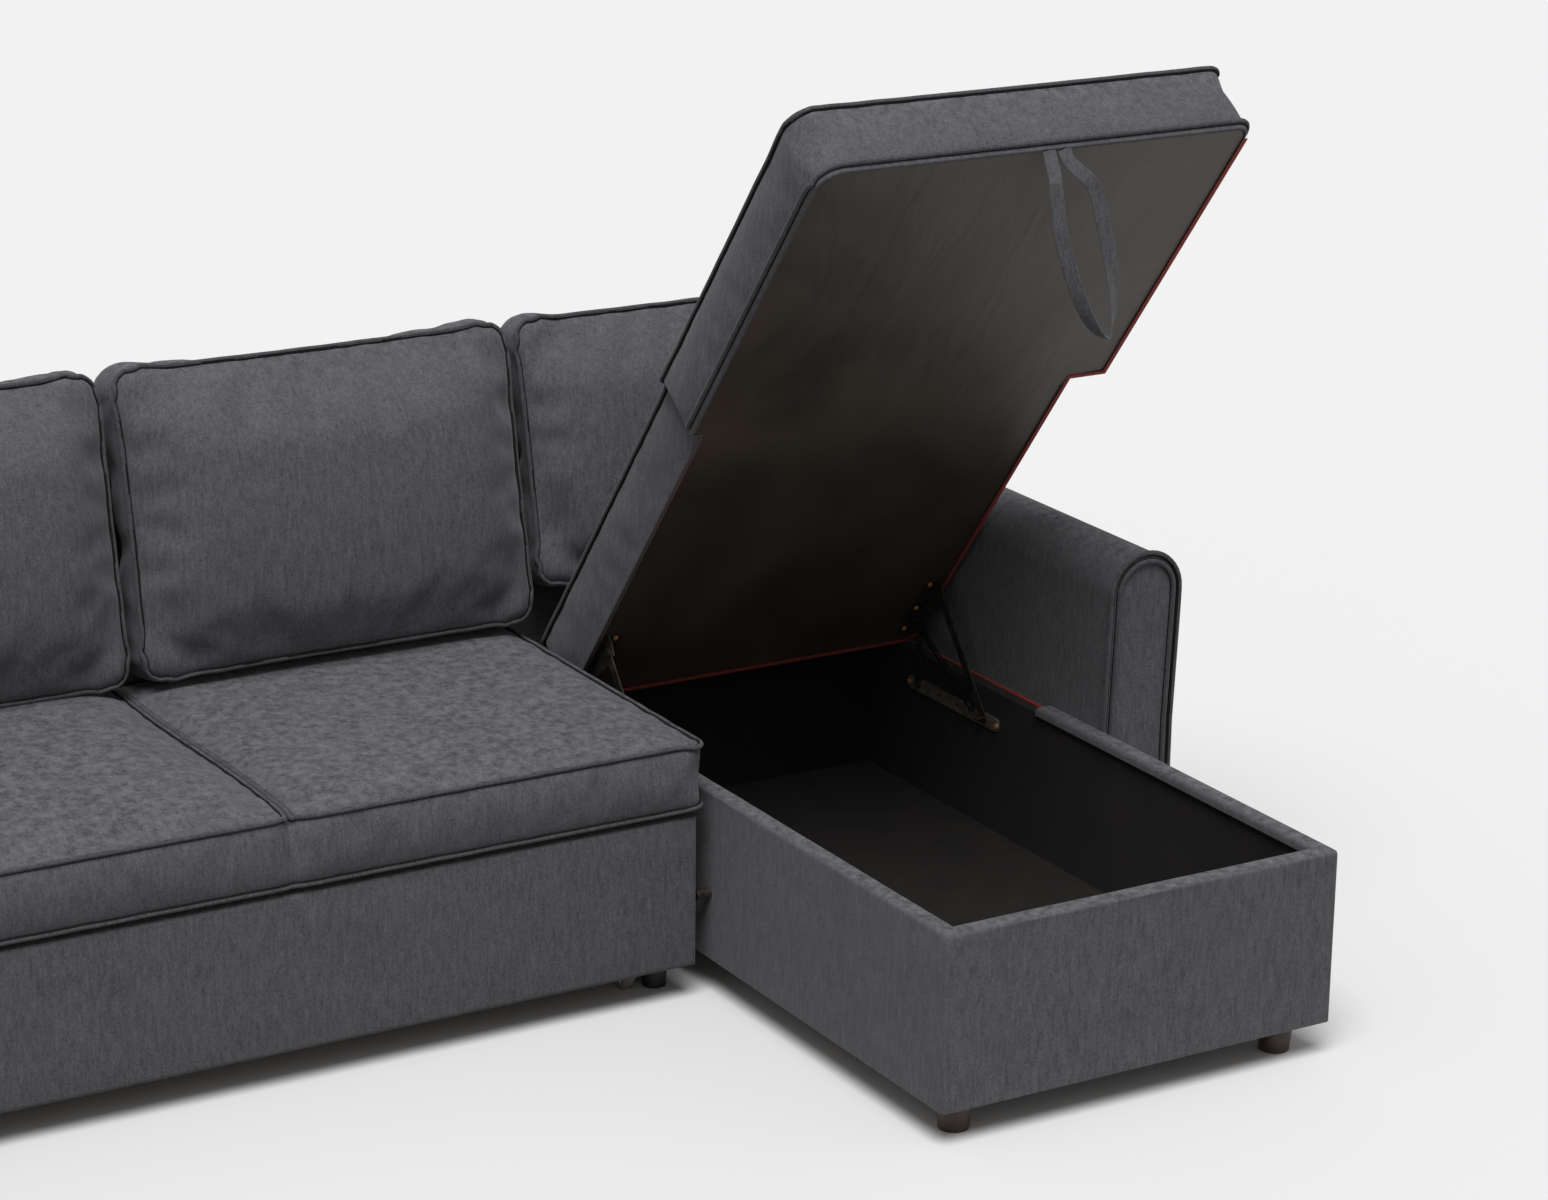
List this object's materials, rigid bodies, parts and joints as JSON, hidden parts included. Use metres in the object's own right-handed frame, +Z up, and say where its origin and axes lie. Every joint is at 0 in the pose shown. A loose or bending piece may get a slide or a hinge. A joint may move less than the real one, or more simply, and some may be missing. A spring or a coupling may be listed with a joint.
{
  "type": "storage sofa with lift up seat",
  "caption": "Chaise sofa whose long T-shaped seat lifts on sprung linkages over a storage box, with loose back cushions, rounded arms and a roll-out bed",
  "frame": {"origin": "Centre of the footprint on the floor, midway between the outer sides of the two arms and midway between the storage box front and the back", "axes": "+X to the sitter's left, which is the viewer's right, where the storage chaise stands; +Y from the front to the back; +Z up"},
  "size_m": [2.5, 1.56, 1.5125],
  "materials": {
    "charcoal_fabric": "soft charcoal upholstery with a fine mottled grain",
    "black_lining": "smooth black non-woven lining",
    "dust_cover": "smooth dark dust cover with a soft sheen",
    "red_binding": "dark red edge binding",
    "bed_fabric": "charcoal upholstery of the bed pad",
    "webbing": "black elastic webbing",
    "frame_wood": "raw plywood and softwood",
    "slat_wood": "raw birch slats",
    "dark_wood": "dark espresso stain, satin",
    "black_plastic": "black moulded plastic",
    "caster_grey": "grey moulded plastic",
    "hinge_black": "black painted steel, satin",
    "spring_steel": "dark oiled spring steel",
    "screw_brass": "yellow passivated screws",
    "zinc_steel": "zinc plated steel"
  },
  "bodies": {
    "sofa": {"chaise_front_board": "frame_wood", "chaise_left_board": "frame_wood", "chaise_right_board": "frame_wood", "chaise_rear_board": "frame_wood", "chaise_bottom_board": "frame_wood", "base_left_board": "frame_wood", "base_right_board": "frame_wood", "base_corner_blocks": "frame_wood", "seat_frame": "frame_wood", "back_frame": "frame_wood", "arm_left_frame": "frame_wood", "arm_right_frame": "frame_wood", "chaise_cover": "charcoal_fabric", "seat_pad": "charcoal_fabric", "back_cover": "charcoal_fabric", "back_cushion_left": "charcoal_fabric", "back_cushion_middle": "charcoal_fabric", "back_cushion_right": "charcoal_fabric", "arm_left_cover": "charcoal_fabric", "arm_right_cover": "charcoal_fabric", "arm_left_welt": "charcoal_fabric", "arm_right_welt": "charcoal_fabric", "chaise_lining": "black_lining", "seat_webbing": "webbing", "chaise_front_feet": "dark_wood", "chaise_rear_feet": "dark_wood", "sofa_front_feet": "black_plastic", "sofa_rear_feet": "black_plastic", "section_connectors": "zinc_steel", "hinge_wall_plates": "hinge_black", "hinge_wall_pins": "hinge_black", "hinge_wall_screws": "screw_brass"},
    "front_links": {"hinge_front_links": "hinge_black"},
    "lid": {"lid_board": "frame_wood", "lid_cushion": "charcoal_fabric", "lid_dust_cover": "dust_cover", "lid_edge_binding": "red_binding", "hinge_lid_plates": "hinge_black", "hinge_lid_pins": "hinge_black", "hinge_lid_screws": "screw_brass"},
    "rear_links": {"hinge_rear_links": "hinge_black", "hinge_rear_pins": "hinge_black"},
    "springs": {"hinge_springs": "spring_steel"},
    "strap": {"pull_strap": "charcoal_fabric"},
    "bed_unit": {"bed_front_board": "frame_wood", "bed_front_cover": "charcoal_fabric", "bed_frame": "frame_wood", "bed_slats": "slat_wood", "bed_pad": "bed_fabric", "caster_forks": "hinge_black", "caster_axles": "zinc_steel"},
    "caster_1": {"caster_wheel_1": "caster_grey"},
    "caster_2": {"caster_wheel_2": "caster_grey"},
    "caster_3": {"caster_wheel_3": "caster_grey"},
    "caster_4": {"caster_wheel_4": "caster_grey"}
  },
  "joints": [
    {"name": "lift_drive", "type": "hinge", "parent": "sofa", "child": "front_links", "pos_m": [0.7375, 0.1826, 0.2765], "axis": [1, 0, 0], "range_deg": [-39.58, 0], "stiffness_Nm_per_rad": 220, "springref_deg": 61.88},
    {"name": "lid_turn", "type": "hinge", "parent": "front_links", "child": "lid", "pos_m": [0.7375, 0.32619, 0.45983], "axis": [1, 0, 0], "range_deg": [0, 91.8]},
    {"name": "rear_link_swing", "type": "hinge", "parent": "sofa", "child": "rear_links", "pos_m": [0.7375, 0.3945, 0.2768], "axis": [1, 0, 0], "range_deg": [-61, 0]},
    {"name": "spring_swing", "type": "hinge", "parent": "sofa", "child": "springs", "pos_m": [0.7375, 0.1826, 0.2765], "axis": [1, 0, 0], "range_deg": [-19.2, 0], "deforming": ["hinge_springs"]},
    {"name": "strap_swing", "type": "hinge", "parent": "lid", "child": "strap", "pos_m": [0.839, -0.39369, 1.41652], "axis": [1, 0, 0], "range_deg": [-52.3, 0], "deforming": ["pull_strap"]},
    {"name": "bed_slide", "type": "slide", "parent": "sofa", "child": "bed_unit", "axis": [0, -1, 0], "range_m": [0, 0.62]},
    {"name": "caster_1_spin", "type": "hinge", "parent": "bed_unit", "child": "caster_1", "pos_m": [-1.0015, 0, 0.022], "axis": [1, 0, 0], "continuous": true},
    {"name": "caster_2_spin", "type": "hinge", "parent": "bed_unit", "child": "caster_2", "pos_m": [0.2535, 0, 0.022], "axis": [1, 0, 0], "continuous": true},
    {"name": "caster_3_spin", "type": "hinge", "parent": "bed_unit", "child": "caster_3", "pos_m": [-1.0015, 0.49, 0.022], "axis": [1, 0, 0], "continuous": true},
    {"name": "caster_4_spin", "type": "hinge", "parent": "bed_unit", "child": "caster_4", "pos_m": [0.2535, 0.49, 0.022], "axis": [1, 0, 0], "continuous": true}
  ],
  "couplings": [
    {"joint": "lid_turn", "follows": "lift_drive", "ratio": -2.3173},
    {"joint": "rear_link_swing", "follows": "lift_drive", "ratio": 1.5379},
    {"joint": "spring_swing", "follows": "lift_drive", "ratio": 0.4821},
    {"joint": "strap_swing", "follows": "lift_drive", "ratio": 1.3173}
  ]
}
